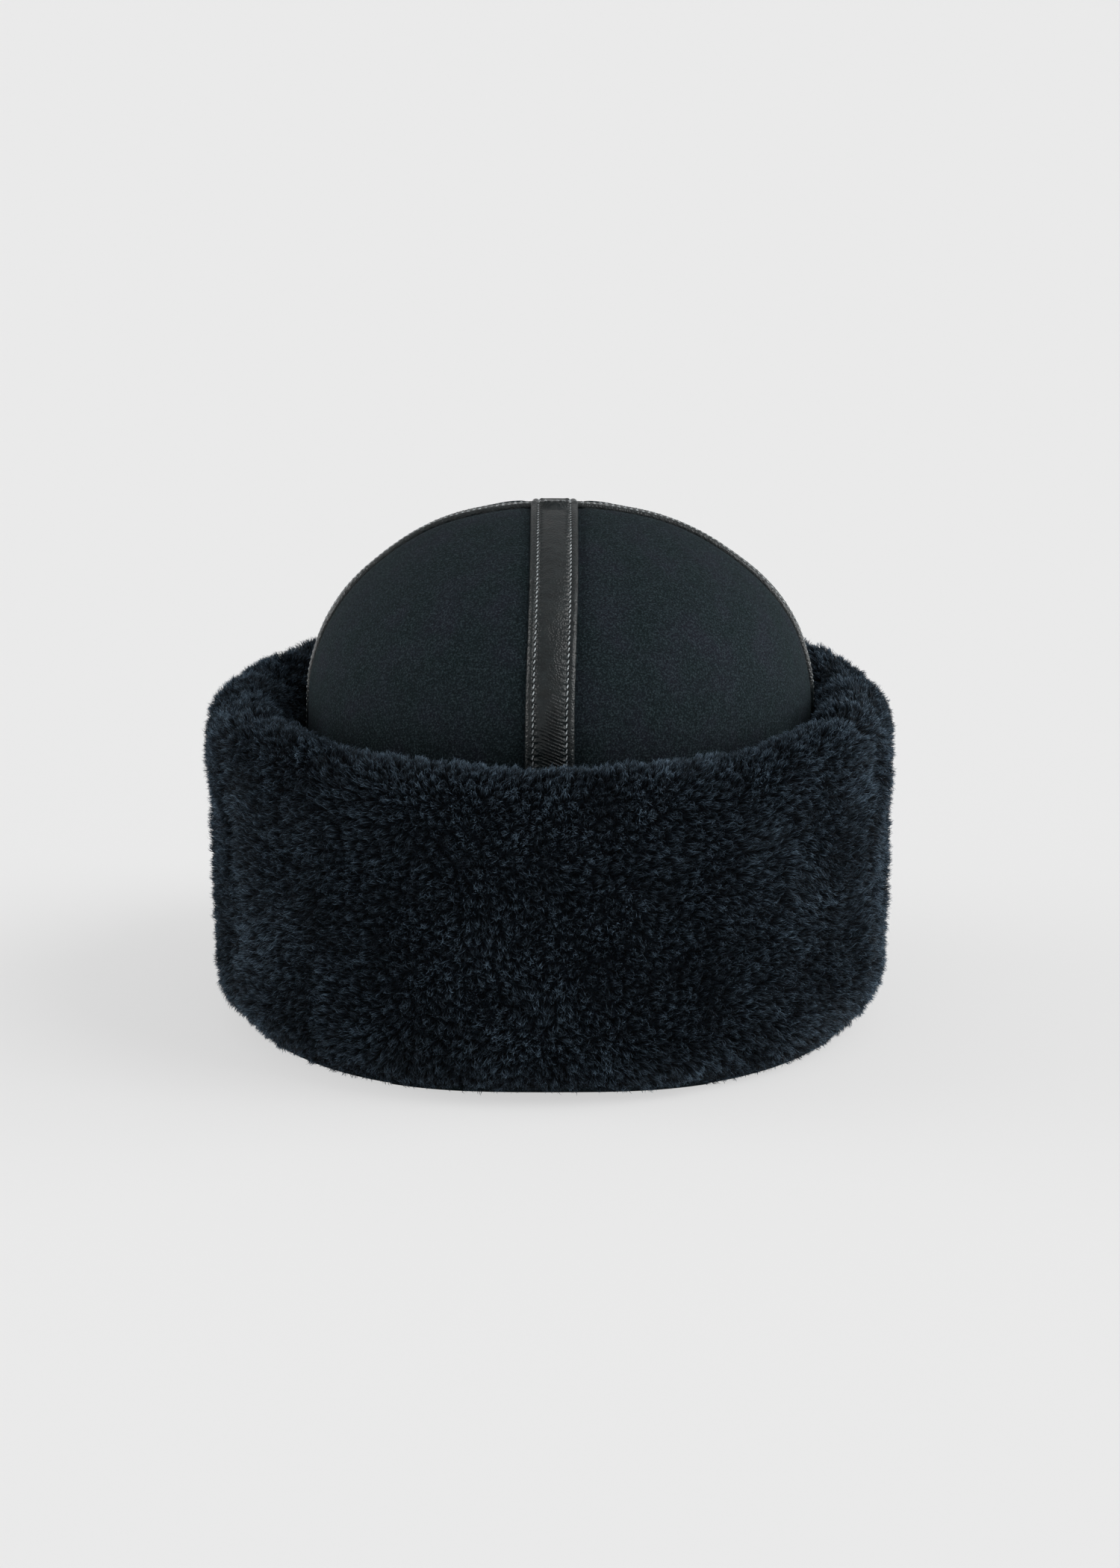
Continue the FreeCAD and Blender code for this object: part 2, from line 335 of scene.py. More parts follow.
def make_mesh(name, points, faces, material):
    """A mesh object from points in millimetres and an array of faces of one size."""
    mesh = bpy.data.meshes.new(name)
    mesh.vertices.add(len(points))
    mesh.vertices.foreach_set("co", (points / 1000).astype(np.float32).ravel())
    mesh.loops.add(faces.size)
    mesh.loops.foreach_set("vertex_index", faces.ravel().astype(np.int32))
    mesh.polygons.add(len(faces))
    mesh.polygons.foreach_set("loop_start", np.arange(len(faces), dtype=np.int32) * faces.shape[1])
    mesh.update(calc_edges=True)
    work = bmesh.new()
    work.from_mesh(mesh)
    bmesh.ops.remove_doubles(work, verts=work.verts, dist=1e-5)
    bmesh.ops.dissolve_degenerate(work, edges=work.edges, dist=1e-6)
    bmesh.ops.recalc_face_normals(work, faces=work.faces)
    work.to_mesh(mesh)
    work.free()
    mesh.polygons.foreach_set("use_smooth", np.ones(len(mesh.polygons), bool))
    piece = bpy.data.objects.new(name, mesh)
    mesh.materials.append(material)
    bpy.context.scene.collection.objects.link(piece)
    return piece


def dress(piece, body, slot, *nodes):
    """Let a piece ride on a body and hide the solids it stands for. slot, the name of its finish, is
    not used.
    """
    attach(piece, body)
    if nodes:
        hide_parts(*nodes)
    print("%-34s %7d faces" % (piece.name, len(piece.data.polygons)))
    return piece


# %% [markdown]
# The finishes come next. Each is a tree of nodes that ends in one Principled shader. Noise in
# the object's own space gives its colour and its bump, so a finish stays on its piece when a
# flap is turned down.

# %% Small tools for the finishes


def tone(r, g, b):
    """A colour as it is read off a screen, 0 to 255, turned into light."""
    return tuple(
        (c / 255 / 12.92 if c <= 10 else ((c / 255 + 0.055) / 1.055) ** 2.4)
        for c in (r, g, b)) + (1.0,)


class Finish:
    """A material that is being put together from nodes."""

    def __init__(self, name, roughness, specular, sheen=0.0):
        self.material = bpy.data.materials.new(name)
        self.material.use_nodes = True
        self.tree = self.material.node_tree
        self.tree.nodes.clear()
        self.shader = self.add("ShaderNodeBsdfPrincipled")
        self.shader.inputs["Roughness"].default_value = roughness
        self.shader.inputs["Specular IOR Level"].default_value = specular
        self.shader.inputs["Sheen Weight"].default_value = sheen
        output = self.add("ShaderNodeOutputMaterial")
        self.join(self.shader.outputs[0], output.inputs[0])
        self.place = self.add("ShaderNodeTexCoord").outputs["Object"]

    def add(self, kind, **settings):
        """A new node of one kind, with its settings."""
        node = self.tree.nodes.new(kind)
        for key, value in settings.items():
            setattr(node, key, value)
        return node

    def join(self, a, b):
        self.tree.links.new(a, b)

    def noise(self, size, detail=2.0, rough=0.5, stretch=None):
        """Noise whose lumps are about size millimetres across."""
        node = self.add("ShaderNodeTexNoise")
        node.inputs["Scale"].default_value = 1000 / size
        node.inputs["Detail"].default_value = detail
        node.inputs["Roughness"].default_value = rough
        place = self.place
        if stretch:
            mapping = self.add("ShaderNodeMapping")
            mapping.inputs["Scale"].default_value = stretch
            self.join(place, mapping.inputs["Vector"])
            place = mapping.outputs[0]
        self.join(place, node.inputs["Vector"])
        return node.outputs["Fac"]

    def attribute(self, name):
        return self.add("ShaderNodeAttribute", attribute_name=name).outputs["Fac"]

    def ramp(self, value, *stops):
        """Colours between stops, each a place from 0 to 1 and a colour."""
        node = self.add("ShaderNodeValToRGB")
        band = node.color_ramp
        band.elements[0].position, band.elements[0].color = stops[0]
        band.elements[1].position, band.elements[1].color = stops[-1]
        for place, colour in stops[1:-1]:
            band.elements.new(place).color = colour
        self.join(value, node.inputs["Fac"])
        return node.outputs["Color"]

    def blend(self, share, a, b):
        """A share of colour b over colour a."""
        node = self.add("ShaderNodeMix", data_type="RGBA")
        for value, socket in ((share, node.inputs[0]), (a, node.inputs[6]), (b, node.inputs[7])):
            if isinstance(value, (float, tuple)):
                socket.default_value = value
            else:
                self.join(value, socket)
        return node.outputs[2]

    def sum(self, a, b, share):
        """a plus b times a share, for heights."""
        node = self.add("ShaderNodeMath", operation="MULTIPLY_ADD")
        self.join(b, node.inputs[0])
        node.inputs[1].default_value = share
        self.join(a, node.inputs[2])
        return node.outputs[0]

    def span(self, value, low, high):
        """A value from 0 to 1, stretched to run from low to high."""
        node = self.add("ShaderNodeMapRange")
        node.inputs["To Min"].default_value = low
        node.inputs["To Max"].default_value = high
        self.join(value, node.inputs["Value"])
        return node.outputs[0]

    def done(self, colour, height=None, depth=0.2, strength=0.6, roughness=None):
        """Join colour, a bump depth millimetres deep and roughness to the shader."""
        self.join(colour, self.shader.inputs["Base Color"])
        if height is not None:
            bump = self.add("ShaderNodeBump")
            bump.inputs["Strength"].default_value = strength
            bump.inputs["Distance"].default_value = depth / 1000
            self.join(height, bump.inputs["Height"])
            self.join(bump.outputs[0], self.shader.inputs["Normal"])
        if roughness is not None:
            self.join(roughness, self.shader.inputs["Roughness"])
        return self.material


# %% [markdown]
# Suede is the flesh side of the skin, sanded to a short nap. Seen close it is a speckle of
# lighter and darker fibre ends under a millimetre across, over soft patches of green grey and
# navy where the nap leans one way or the other. Two noises give those, and a third, finer one
# drives the bump.

# %% Suede
suede_finish = Finish("suede", roughness=0.92, specular=0.06, sheen=0.02)
suede_finish.shader.inputs["Sheen Roughness"].default_value = 0.5
suede_finish.shader.inputs["Sheen Tint"].default_value = tone(150, 165, 170)
nap = suede_finish.noise(0.68, detail=3, rough=0.72)
patches = suede_finish.noise(14.0, detail=3, rough=0.55)
speckle = suede_finish.ramp(
    nap, (0.34, tone(5, 8, 10)), (0.5, tone(22, 30, 34)), (0.66, tone(61, 74, 79)))
cast = suede_finish.ramp(
    patches, (0.3, tone(18, 31, 31)), (0.5, tone(26, 34, 38)), (0.7, tone(34, 34, 45)))
suede = suede_finish.done(
    suede_finish.blend(0.4, speckle, cast), nap, depth=0.35, strength=0.9,
    roughness=suede_finish.span(nap, 0.8, 1.0))

# %% [markdown]
# The straps are thin, dressed leather: nearly black, but with a satin shine that lights every fold of
# it. It has a fine grain of cells and a few paler stains. Its colour also follows the height of its
# creases, darker in their hollows: painted shade. The welt that the flaps are sewn to is the same
# leather.

# %% Strap leather
leather_finish = Finish("strap_leather", roughness=0.4, specular=0.42)
grain = leather_finish.add("ShaderNodeTexVoronoi", feature="F1")
grain.inputs["Scale"].default_value = 1000 / 0.75
leather_finish.join(leather_finish.place, grain.inputs["Vector"])
creases = leather_finish.noise(3.2, detail=4, rough=0.6)
stains = leather_finish.ramp(
    leather_finish.noise(11.0, detail=3), (0.3, tone(10, 17, 19)), (0.55, tone(16, 23, 25)),
    (0.75, tone(27, 30, 29)))
# Painted shade: the crease ramp follows the crease height, dark in the hollows and lighter on the
# ridges.
leather = leather_finish.done(
    leather_finish.blend(0.35, stains, leather_finish.ramp(
        creases, (0.35, tone(5, 10, 12)), (0.65, tone(38, 47, 49)))),
    leather_finish.sum(creases, grain.outputs["Distance"], 0.5), depth=0.42, strength=0.9,
    roughness=leather_finish.span(creases, 0.26, 0.44))

thread_finish = Finish("strap_thread", roughness=0.45, specular=0.5)
# Painted highlight: the dark thread's colour runs up to near white, standing in for the glints where
# the lamps catch it.
thread_glint_colour = thread_finish.ramp(
    thread_finish.noise(0.8), (0.3, tone(66, 72, 74)), (0.7, tone(214, 222, 225)))
thread = thread_finish.done(thread_glint_colour, thread_finish.noise(0.3), depth=0.05)

# %% [markdown]
# The wool is a dense sheared pile, dyed nearly black with navy tips. Each fibre carries two numbers
# on its points: how far up the fibre the point is, and the shade of its tuft. The colour darkens
# towards the root as painted shade, the shade deep in the pile where the fibres cover each other. The
# lighter tips are partly navy dye and partly painted light that the tips catch, which is what makes
# the pile look deep.

# %% Wool
wool_finish = Finish("wool", roughness=0.65, specular=0.16)
up_fibre = wool_finish.attribute("up_fibre")
tuft_shade = wool_finish.attribute("tuft_shade")
# Both ramps darken towards the root: painted shade deep in the pile, paler towards the tips.
dark_fibre = wool_finish.ramp(
    up_fibre, (0.15, tone(8, 10, 12)), (0.6, tone(24, 31, 37)), (1.0, tone(43, 55, 65)))
pale_fibre = wool_finish.ramp(
    up_fibre, (0.15, tone(12, 15, 19)), (0.6, tone(44, 57, 69)), (1.0, tone(136, 162, 184)))
wool = wool_finish.done(wool_finish.blend(tuft_shade, dark_fibre, pale_fibre))

bed_finish = Finish("wool_bed", roughness=0.9, specular=0.1)
bed = bed_finish.done(
    bed_finish.ramp(bed_finish.noise(1.6, detail=3), (0.3, tone(8, 10, 13)), (0.7, tone(26, 34, 42))),
    bed_finish.noise(1.1, detail=2), depth=0.6)
print("finishes:", ", ".join(m.name for m in (suede, leather, thread, wool, bed)))

# %% [markdown]
# The crown is four panels of sheepskin with the suede out. Each is a fine grid carried from the
# rim to the top. The skin is drawn in beside the straps, where the seams pull it down, and it
# puffs a little between them. The wool lining behind it is a second skin, glued to its back.

# %% The crown's suede panels


def puff(points):
    """How far the suede stands off its plain outline: seams pull it in, the rest puffs."""
    beside_strap = np.abs(points[..., 0]) - run_half
    beside_cross = np.abs(points[..., 1]) - run_half
    near = np.minimum(np.where(beside_strap < 0, 0, beside_strap),
                      np.where(beside_cross < 0, 0, beside_cross))
    pull = 0.35 - 0.8 * np.exp(-(near / 2.6) ** 2) + 0.3 * np.exp(-((near - 9) / 6) ** 2)
    return pull + 0.35 * ripple(points, 34, 3) + 0.12 * ripple(points, 11, 4)


panels = [(side, end) for end in (-1, 1) for side in (1, -1)]


def panel_name(side, end):
    return "crown_%s_%s" % ("front" if end < 0 else "rear", "left" if side > 0 else "right")


for side, end in panels:
    way = quarter(side, end)
    a = np.concatenate([np.linspace(0, 0.94, 76), np.linspace(0.955, 1, 4)])[:, None]
    s = np.linspace(0, suede_line.length, 106)[None, :]
    plain = set_round(way, a, *suede_line.at(s))
    face = set_round(way, a, *suede_line.at(s, puff(plain)))
    back = set_round(way, a, *suede_line.at(s, -hide_thick))
    panel = make_mesh(panel_name(side, end) + "_suede", *closed_skin(slump(face), slump(back)), suede)
    dress(panel, "crown", "suede", panel_name(side, end) + "_hide")

# %% [markdown]
# A fibre of wool is a narrow ribbon of two quads and a tip, bent once on its way up. Hair
# systems are the usual way, but hair curves aren't part of the exported model, so the fibres
# are real faces. Where a fibre stands, leans and ends is worked out for all of them at once.
# Fibres lean together in tufts: each is drawn towards the middle of the nearest tuft, which
# leaves small dark gaps between the tufts, as in the picture.

# %% Fibres


def ribbons(name, levels, width, shade, material, seed):
    """Ribbons through four levels of points, from root to tip. width is that of each level."""
    n = len(levels[0])
    rng = np.random.default_rng(seed)
    along = levels[3] - levels[0]
    across = np.cross(along, rng.normal(size=(n, 3)))
    across /= np.linalg.norm(across, axis=1)[:, None] + 1e-9
    points = np.empty((n, 7, 3), np.float32)
    for i in range(3):
        points[:, 2 * i] = levels[i] - across * width[i] / 2
        points[:, 2 * i + 1] = levels[i] + across * width[i] / 2
    points[:, 6] = levels[3]
    points[..., 2] = np.maximum(points[..., 2], 0.15)
    start = (np.arange(n) * 7)[:, None]
    loops = start + np.array([0, 1, 3, 2, 2, 3, 5, 4, 4, 5, 6])
    sizes = np.tile([4, 4, 3], n)
    mesh = bpy.data.meshes.new(name)
    mesh.vertices.add(n * 7)
    mesh.vertices.foreach_set("co", (points / 1000).ravel())
    mesh.loops.add(loops.size)
    mesh.loops.foreach_set("vertex_index", loops.ravel().astype(np.int32))
    mesh.polygons.add(len(sizes))
    mesh.polygons.foreach_set(
        "loop_start", np.concatenate([[0], np.cumsum(sizes)[:-1]]).astype(np.int32))
    mesh.update(calc_edges=True)
    mesh.polygons.foreach_set("use_smooth", np.ones(len(mesh.polygons), bool))
    height = np.array([0, 0, 0.4, 0.4, 0.75, 0.75, 1.0])
    for key, value in (("up_fibre", np.tile(height, n)), ("tuft_shade", np.repeat(shade, 7))):
        mesh.attributes.new(key, "FLOAT", "POINT").data.foreach_set(
            "value", value.astype(np.float32))
    # A UV map named OFBake: a fibre's shade across it, the way up the fibre along it
    side_step = np.array([-1, 1, -1, 1, -1, 1, 0]) * 0.006
    spot = np.stack([np.clip(shade[:, None] * 0.96 + 0.02 + side_step, 0.001, 0.999),
                     np.broadcast_to(0.02 + 0.96 * height, (n, 7))], -1).reshape(-1, 2)
    mesh.uv_layers.new(name="OFBake").data.foreach_set(
        "uv", spot[loops.ravel()].astype(np.float32).ravel())
    piece = bpy.data.objects.new(name, mesh)
    mesh.materials.append(material)
    bpy.context.scene.collection.objects.link(piece)
    return piece


def tufts(s, t, size, seed):
    """The middle of the nearest tuft to each place on a flat sheet, how far it is, and a draw."""
    s, t = 0.83 * s - 0.56 * t, 0.56 * s + 0.83 * t
    best = np.full(s.shape, 1e9)
    near_s, near_t, draw = np.zeros_like(s), np.zeros_like(t), np.zeros_like(s)
    cell_s, cell_t = np.floor(s / size).astype(np.int64), np.floor(t / size).astype(np.int64)
    for i in (-1, 0, 1):
        for j in (-1, 0, 1):
            c, d = cell_s + i, cell_t + j
            h = (c * 73856093 ^ d * 19349663 ^ seed * 83492791) * 1274126177 & 0xFFFFFFFF
            h = (h ^ (h >> 15)) * 668265263 & 0xFFFFFFFF
            u, v, w = (h & 1023) / 1023, (h >> 10 & 1023) / 1023, (h >> 20 & 1023) / 1023
            here_s, here_t = (c + u) * size, (d + v) * size
            gap = np.hypot(here_s - s, here_t - t)
            closer = gap < best
            best = np.where(closer, gap, best)
            near_s, near_t = np.where(closer, here_s, near_s), np.where(closer, here_t, near_t)
            draw = np.where(closer, w, draw)
    return 0.83 * near_s + 0.56 * near_t, 0.83 * near_t - 0.56 * near_s, best, draw


thin_out = 1.0


def pile(name, body, way, line, bed_lift, tip_lift, pitch, width, tuft, seed, lean=1.7, keep=None,
         span=(0.0, 1.0), shift=None):
    """Fibres over one skin. bed_lift and tip_lift give, for places s along and a round, how far
    off the outline the fibres start and end."""
    rng = np.random.default_rng(seed)
    pitch = pitch * thin_out
    around = way.around
    rows, columns = int(line.length / pitch), int(around * (span[1] - span[0]) / pitch)
    s, a = np.meshgrid(np.arange(rows), np.arange(columns), indexing="ij")
    s = ((s + rng.random(s.shape)) * line.length / rows).ravel()
    a = (span[0] + (a + rng.random(a.shape)) * (span[1] - span[0]) / columns).ravel()
    if keep is not None:
        kept = rng.random(len(s)) < keep(s)
        s, a = s[kept], a[kept]
    root = set_round(way, a, *line.at(s, bed_lift(s, a)))
    mid_s, mid_a, gap, draw = tufts(s, a * around, tuft, seed)
    flow_s, flow_a = lean * ripple(root, 21, seed + 1), lean * ripple(root, 21, seed + 2)
    pull = 0.66
    end_s = s + pull * (mid_s - s) + flow_s + rng.normal(0, 0.7, len(s))
    end_a = a + (pull * (mid_a - a * around) + flow_a + rng.normal(0, 0.7, len(s))) / around
    end_a = np.clip(end_a, -1.2 / around, 1 + 1.2 / around)
    end_lift = tip_lift(s, a) + 1.9 * (draw - 0.5) - 0.5 * gap + rng.normal(0.4, 0.45, len(s))
    low = bed_lift(s, a)
    bend = rng.normal(0, 0.45, (2, len(s)))
    levels = [root]
    for t, rise in ((0.4, 0.5), (0.75, 0.85), (1.0, 1.0)):
        curl = math.sin(math.pi * t)
        here_s = s + (end_s - s) * t ** 1.6 + bend[0] * curl
        here_a = a + ((end_a - a) * t ** 1.6 + bend[1] * curl / around)
        levels.append(set_round(way, here_a, *line.at(
            np.clip(here_s, 0, line.length), low + (end_lift - low) * rise)))
    if shift is not None:
        levels = [shift(level) for level in levels]
    shade = 0.45 + 0.25 * ripple(root, 9, 8) + 0.15 * ripple(root, 30, 9) \
        + 0.4 * (draw - 0.5) + rng.normal(0, 0.24, len(s))
    piece = ribbons(name, levels, np.array([1, 0.85, 0.55]) * width * thin_out ** 0.7,
                    np.clip(shade, 0, 1) ** 1.7, wool, seed + 9)
    return dress(piece, body, "wool")


# %% [markdown]
# Inside, the crown is lined with its own wool, which wraps under the suede's edge to make the
# soft rim that the hat stands on. Its bed is a closed skin and its pile is short.

# %% The crown's wool lining
lining_back = dome(-hide_thick, rim_lift)
bevel = 3.4
inner = -hide_thick - lining_thick
lining_line = Outline([
    (crown_out, rim_lift, None),
    (crown_out, bevel, (bevel, -1)),
    (crown_out - bevel, 0, None),
    (crown_out + inner + bevel, 0, (bevel, -1)),
    (crown_out + inner, bevel, None)] + [
        (r, z, None) for r, z in dome(inner, bevel + 2).line[::4]] + [(0, crown_top + inner, None)])
lining_line.out = -lining_line.out


def lining_bed(s, a):
    """The lining's bed lies back from the wool's tips, less at the rim's outer edge."""
    return -(1.2 + 3.2 * ease(s, 4, 16))


def lining_tip(s, a):
    return -0.4 + 0.5 * np.sin(s * 0.9 + a * 60) * ease(s, 20, 30)


for number, (side, end) in enumerate(panels):
    way = quarter(side, end)
    a = np.concatenate([np.linspace(0, 0.94, 40), np.linspace(0.97, 1, 2)])[:, None]
    s = np.linspace(0, 1, 90)[None, :] ** 1.15 * lining_line.length
    plain = set_round(way, a, *lining_line.at(s))
    lumps = lining_bed(s, a) + 0.5 * ripple(plain, 5, 7)
    face = set_round(way, a, *lining_line.at(s, lumps))
    back_s = np.linspace(0, 1, 90)[None, :] ** 1.15 * lining_back.length
    back = set_round(way, a, *lining_back.at(back_s, -0.05))
    lining = make_mesh(panel_name(side, end) + "_lining", *closed_skin(slump(face), slump(back)), bed)
    dress(lining, "crown", "wool", panel_name(side, end) + "_wool")
    pile(panel_name(side, end) + "_lining_pile", "crown", way, lining_line, lining_bed, lining_tip,
         pitch=1.3, width=0.6, tuft=3.4, seed=100 + number, lean=1.6, shift=slump,
         keep=lambda s: np.maximum(lining_line.at(s)[0], 3) / crown_out)

# %% [markdown]
# A strap is a strip of leather with both edges folded under and a row of stitches three
# millimetres in from each. Between the rows it is puffed up, at each stitch it is pinched, and
# where it is pressed or pulled it wrinkles. All of that is height over the suede, so one
# function of the place along the strap and the place across it shapes the whole piece.

# %% The straps' height
row_at, pitch_of_stitches = 6.1, 2.3
across_hem = np.array(
    [5.4, 5.7, 5.95, 6.2, 6.45, 6.75, 7.1, 7.6, 8.15, 8.55, 8.82, 8.96, 9.0])
across_strap = np.concatenate([-across_hem[::-1], np.linspace(-5.0, 5.0, 21), across_hem])


def padding(x, from_top):
    """The padding between a strap's two rows, from 0 to 1: it runs out towards the top."""
    return np.clip(1 - (x / 5.6) ** 2, 0, 1) ** 0.7 * ease(from_top, 0, 22)


def on_strap(s, x, narrow=1.0):
    """Places on a strap as flat points that the soft noise can read."""
    flat = 0 * (s + x)
    return np.stack([s + flat, narrow * x + flat, flat], -1)


def strap_height(s, x, worn, full=0.75):
    """Height of a strap over the suede, s along it and x across it, full of padding or not."""
    u = np.abs(x) + 0 * s
    edge = np.sqrt(np.clip(1 - ((u - 7.7) / 1.3) ** 2, 0, 1))
    height = np.where(u > 7.7, strap_thick * edge, strap_thick)
    height += 0.16 * np.exp(-((u - 7.4) / 0.5) ** 2)
    height += full * padding(u, strap_line.length - np.abs(s))
    pinch = 0.75 + 0.25 * np.cos(2 * math.pi * s / pitch_of_stitches)
    height -= 0.75 * pinch * np.exp(-((u - row_at) / 0.45) ** 2)
    height -= 0.24 * np.cos(2 * math.pi * s / pitch_of_stitches) * np.exp(-((u - 5.2) / 0.9) ** 2)
    place = on_strap(s, x, narrow=0.55)
    height += 0.13 * ripple(place, 2.6, 11) * (u < 5.6) + 0.14 * ripple(place, 8, 12)
    return height + worn(s, x) * np.clip(1 - (u / 5.9) ** 4, 0, 1)


def strap_piece(name, s, centre, out, across, bow, worn, lift, full=0.75):
    """A strap along a line of points, with the way out and the way across at each of them."""
    x = across_strap[None, :]
    s = s[:, None]
    droop = -x ** 2 / (2 * bow[:, None])
    height = strap_height(s, x, worn, full) + lift(s, x)

    def at(height):
        return slump(centre[:, None, :] + across[:, None, :] * x[..., None]
                     + out[:, None, :] * (droop + height)[..., None])
    return make_mesh(name, *closed_skin(at(height), at(np.full_like(height, -0.5))), leather)


# %% [markdown]
# The stitches are short slanted lengths of thread that rise out of one hole and dive into the
# next. Each is a small closed tube, so it casts its own shadow in the pinched row. Towards the
# top of the hat they are pulled deeper into the leather.

# %% Stitches


def tubes(name, centre, out, radius, material):
    """Closed tubes along short lines of points, shape (how many, points, 3)."""
    count, length = centre.shape[:2]
    sides = 6
    along = np.gradient(centre, axis=1)
    along /= np.linalg.norm(along, axis=2)[..., None]
    over = np.cross(along, out[:, None, :])
    over /= np.linalg.norm(over, axis=2)[..., None]
    up = np.cross(over, along)
    turn = np.arange(sides) * 2 * math.pi / sides
    ring = (over[:, :, None, :] * np.cos(turn)[:, None] + up[:, :, None, :] * np.sin(turn)[:, None])
    points = centre[:, :, None, :] + ring * radius[None, :, None, None]
    index = np.arange(count * length * sides).reshape(count, length, sides)
    after = np.roll(index, -1, axis=2)
    faces = [quads(index[:, :-1], after[:, :-1], after[:, 1:], index[:, 1:])]
    for end in (0, -1):
        ring = index[:, end]
        faces += [quads(ring[:, 0], ring[:, 1], ring[:, 2], ring[:, 3]),
                  quads(ring[:, 0], ring[:, 3], ring[:, 4], ring[:, 5])]
    return make_mesh(name, points.reshape(-1, 3), np.concatenate(faces), material)


def stitches(name, first, last, line_at, worn, lift):
    """Two rows of stitches along a strap, between two places on it."""
    t = np.linspace(-1, 1, 7)
    radius = np.array([0.13, 0.25, 0.31, 0.32, 0.31, 0.25, 0.13])
    rows = []
    for x0 in (-row_at, row_at):
        middle = np.arange(first + pitch_of_stitches / 2, last, pitch_of_stitches)
        s = middle[:, None] + 0.95 * t
        x = x0 + 0.3 * t[None, :] + 0 * s
        centre, out, across, bow = line_at(s)
        height = strap_height(s, x, worn) + lift(s, x) - x ** 2 / (2 * bow)
        sunk = 0.3 * (1 - ease(strap_line.length - np.abs(s), 10, 50))
        rise = height + 0.38 - 0.85 * t ** 4 - sunk
        rows.append((slump(centre + across * x[..., None] + out * rise[..., None]), out[:, 3]))
    return tubes(name, np.concatenate([r[0] for r in rows]), np.concatenate([r[1] for r in rows]),
                 radius, thread)


# %% [markdown]
# The front strap climbs from under the cuff to the strap over the top. In the picture it has
# fine bowed wrinkles below its upper end, whose two corners curl up, and slanting creases just
# above the wool. The back strap is the same without that wear.

# %% The straps up the front and the back
strap_line = dome(0, strap_foot)


def up_the(end):
    """Places on the strap up the front (end -1) or the back (end 1)."""
    def at(s):
        r, z = strap_line.at(s)
        out_r, out_z = strap_line.way_out(s)
        nothing = 0 * s
        centre = np.stack([nothing, end * (run_half + r), z], -1)
        out = np.stack([nothing, end * out_r, out_z], -1)
        across = np.stack([nothing + 1, nothing, nothing], -1)
        return centre, out, across, np.where(out_r > 0.02, r / np.maximum(out_r, 0.02), 117.0)
    return at


def front_wear(s, x):
    """Bowed wrinkles under the top end and slanting creases above the cuff."""
    from_top = strap_line.length - s
    place = on_strap(s, x)
    bowed = np.sin(
        2 * math.pi * (from_top + 0.045 * x ** 2) / 1.35 + 1.2 * ripple(place, 4, 21))
    top = 0.55 * bowed * (1 - ease(from_top, 5, 19)) * ease(from_top, 0, 1.5)
    slant = np.sin(2 * math.pi * (s + 0.42 * x) / 1.25 + 1.6 * ripple(place, 3.5, 22))
    low = 0.55 * slant * ease(s, 84, 92) * (1 - ease(s, 104, 122)) * ease(x, -5, 1)
    return top + low


def curl(s, x):
    """The end stands up a little against the strap over the top, its corners the most."""
    from_top = strap_line.length - s
    corners = 0.9 * (np.abs(x) / 9) ** 3 * (1 - ease(from_top, 0, 4.5))
    return corners + 0.3 * (1 - ease(from_top, 0, 7))


def level(s, x):
    """No height: a strap without wear, or one that isn't lifted."""
    return 0 * s * x


def sink(s, x):
    """The back strap loses its padding and lies flatter towards its upper end."""
    from_top = strap_line.length - s
    return -(1.0 + 0.75 * padding(x, from_top)) * (1 - ease(from_top, 20, 60))


for end, node in ((-1, "front_strap"), (1, "rear_strap")):
    at = up_the(end)
    worn, lift = (front_wear, curl) if end < 0 else (level, sink)
    s = np.arange(0, strap_line.length, 0.33 if end < 0 else 0.46)
    dress(strap_piece(node + "_leather", s, *at(s), worn, lift), "crown", "strap_leather", node)
    dress(stitches(node + "_stitches", 1, strap_line.length - 1.2, at, worn, lift),
          "crown", "strap_leather")

# %% [markdown]
# The strap over the top runs from ear to ear, between the ends of the other two. It is hardly
# padded, and it wrinkles here and there.

# %% The strap over the top


def over_the_top(s):
    """Places on the cross strap; s is 0 at the very top and grows to the wearer's left."""
    far = strap_line.length - np.abs(s)
    side = np.sign(s) + (s == 0)
    r, z = strap_line.at(far)
    out_r, out_z = strap_line.way_out(far)
    nothing = 0 * s
    centre = np.stack([side * r, nothing, z], -1)
    out = np.stack([side * out_r, nothing, out_z], -1)
    across = np.stack([nothing, nothing + 1, nothing], -1)
    return centre, out, across, np.full(s.shape, 1e6)


def cross_wear(s, x):
    """Low wrinkles across the strap over the top, only in places."""
    return 0.06 * np.sin(2 * math.pi * (s + 0.1 * x) / 2.1) * ease(
        ripple(on_strap(s, x, narrow=0.0), 14, 31), 0, 0.6)


reach = strap_line.length
s = np.arange(-reach, reach + 0.2, 0.46)
dress(strap_piece("cross_strap_leather", s, *over_the_top(s), cross_wear, level, 0.25),
      "crown", "strap_leather", "cross_strap")
dress(stitches("cross_strap_stitches", -reach + 1, reach - 1, over_the_top, cross_wear, level),
      "crown", "strap_leather")

# %% [markdown]
# The welt is the strip round the crown's foot that the flaps are sewn to. It shows only when a
# flap is down. It is one closed ring with rounded edges.

# %% The welt


def whole_way(a, r):
    """Way right round the oval, from the front and back to it; a is from 0 to 1."""
    half, turn_round = math.pi * crown_out, 2 * math.pi * crown_out + 4 * run_half
    p = a * turn_round + 0 * r
    side = np.where(p <= turn_round / 2, 1, -1)
    p = np.minimum(p, turn_round - p)
    first = np.clip(p / crown_out, 0, math.pi / 2)
    slide = np.clip(p - half / 2, 0, 2 * run_half) - run_half
    second = np.clip((p - half / 2 - 2 * run_half) / crown_out, 0, math.pi / 2)
    return slide, side * np.where(second > 0, np.cos(second), np.sin(first)), \
        np.where(second > 0, np.sin(second), -np.cos(first))


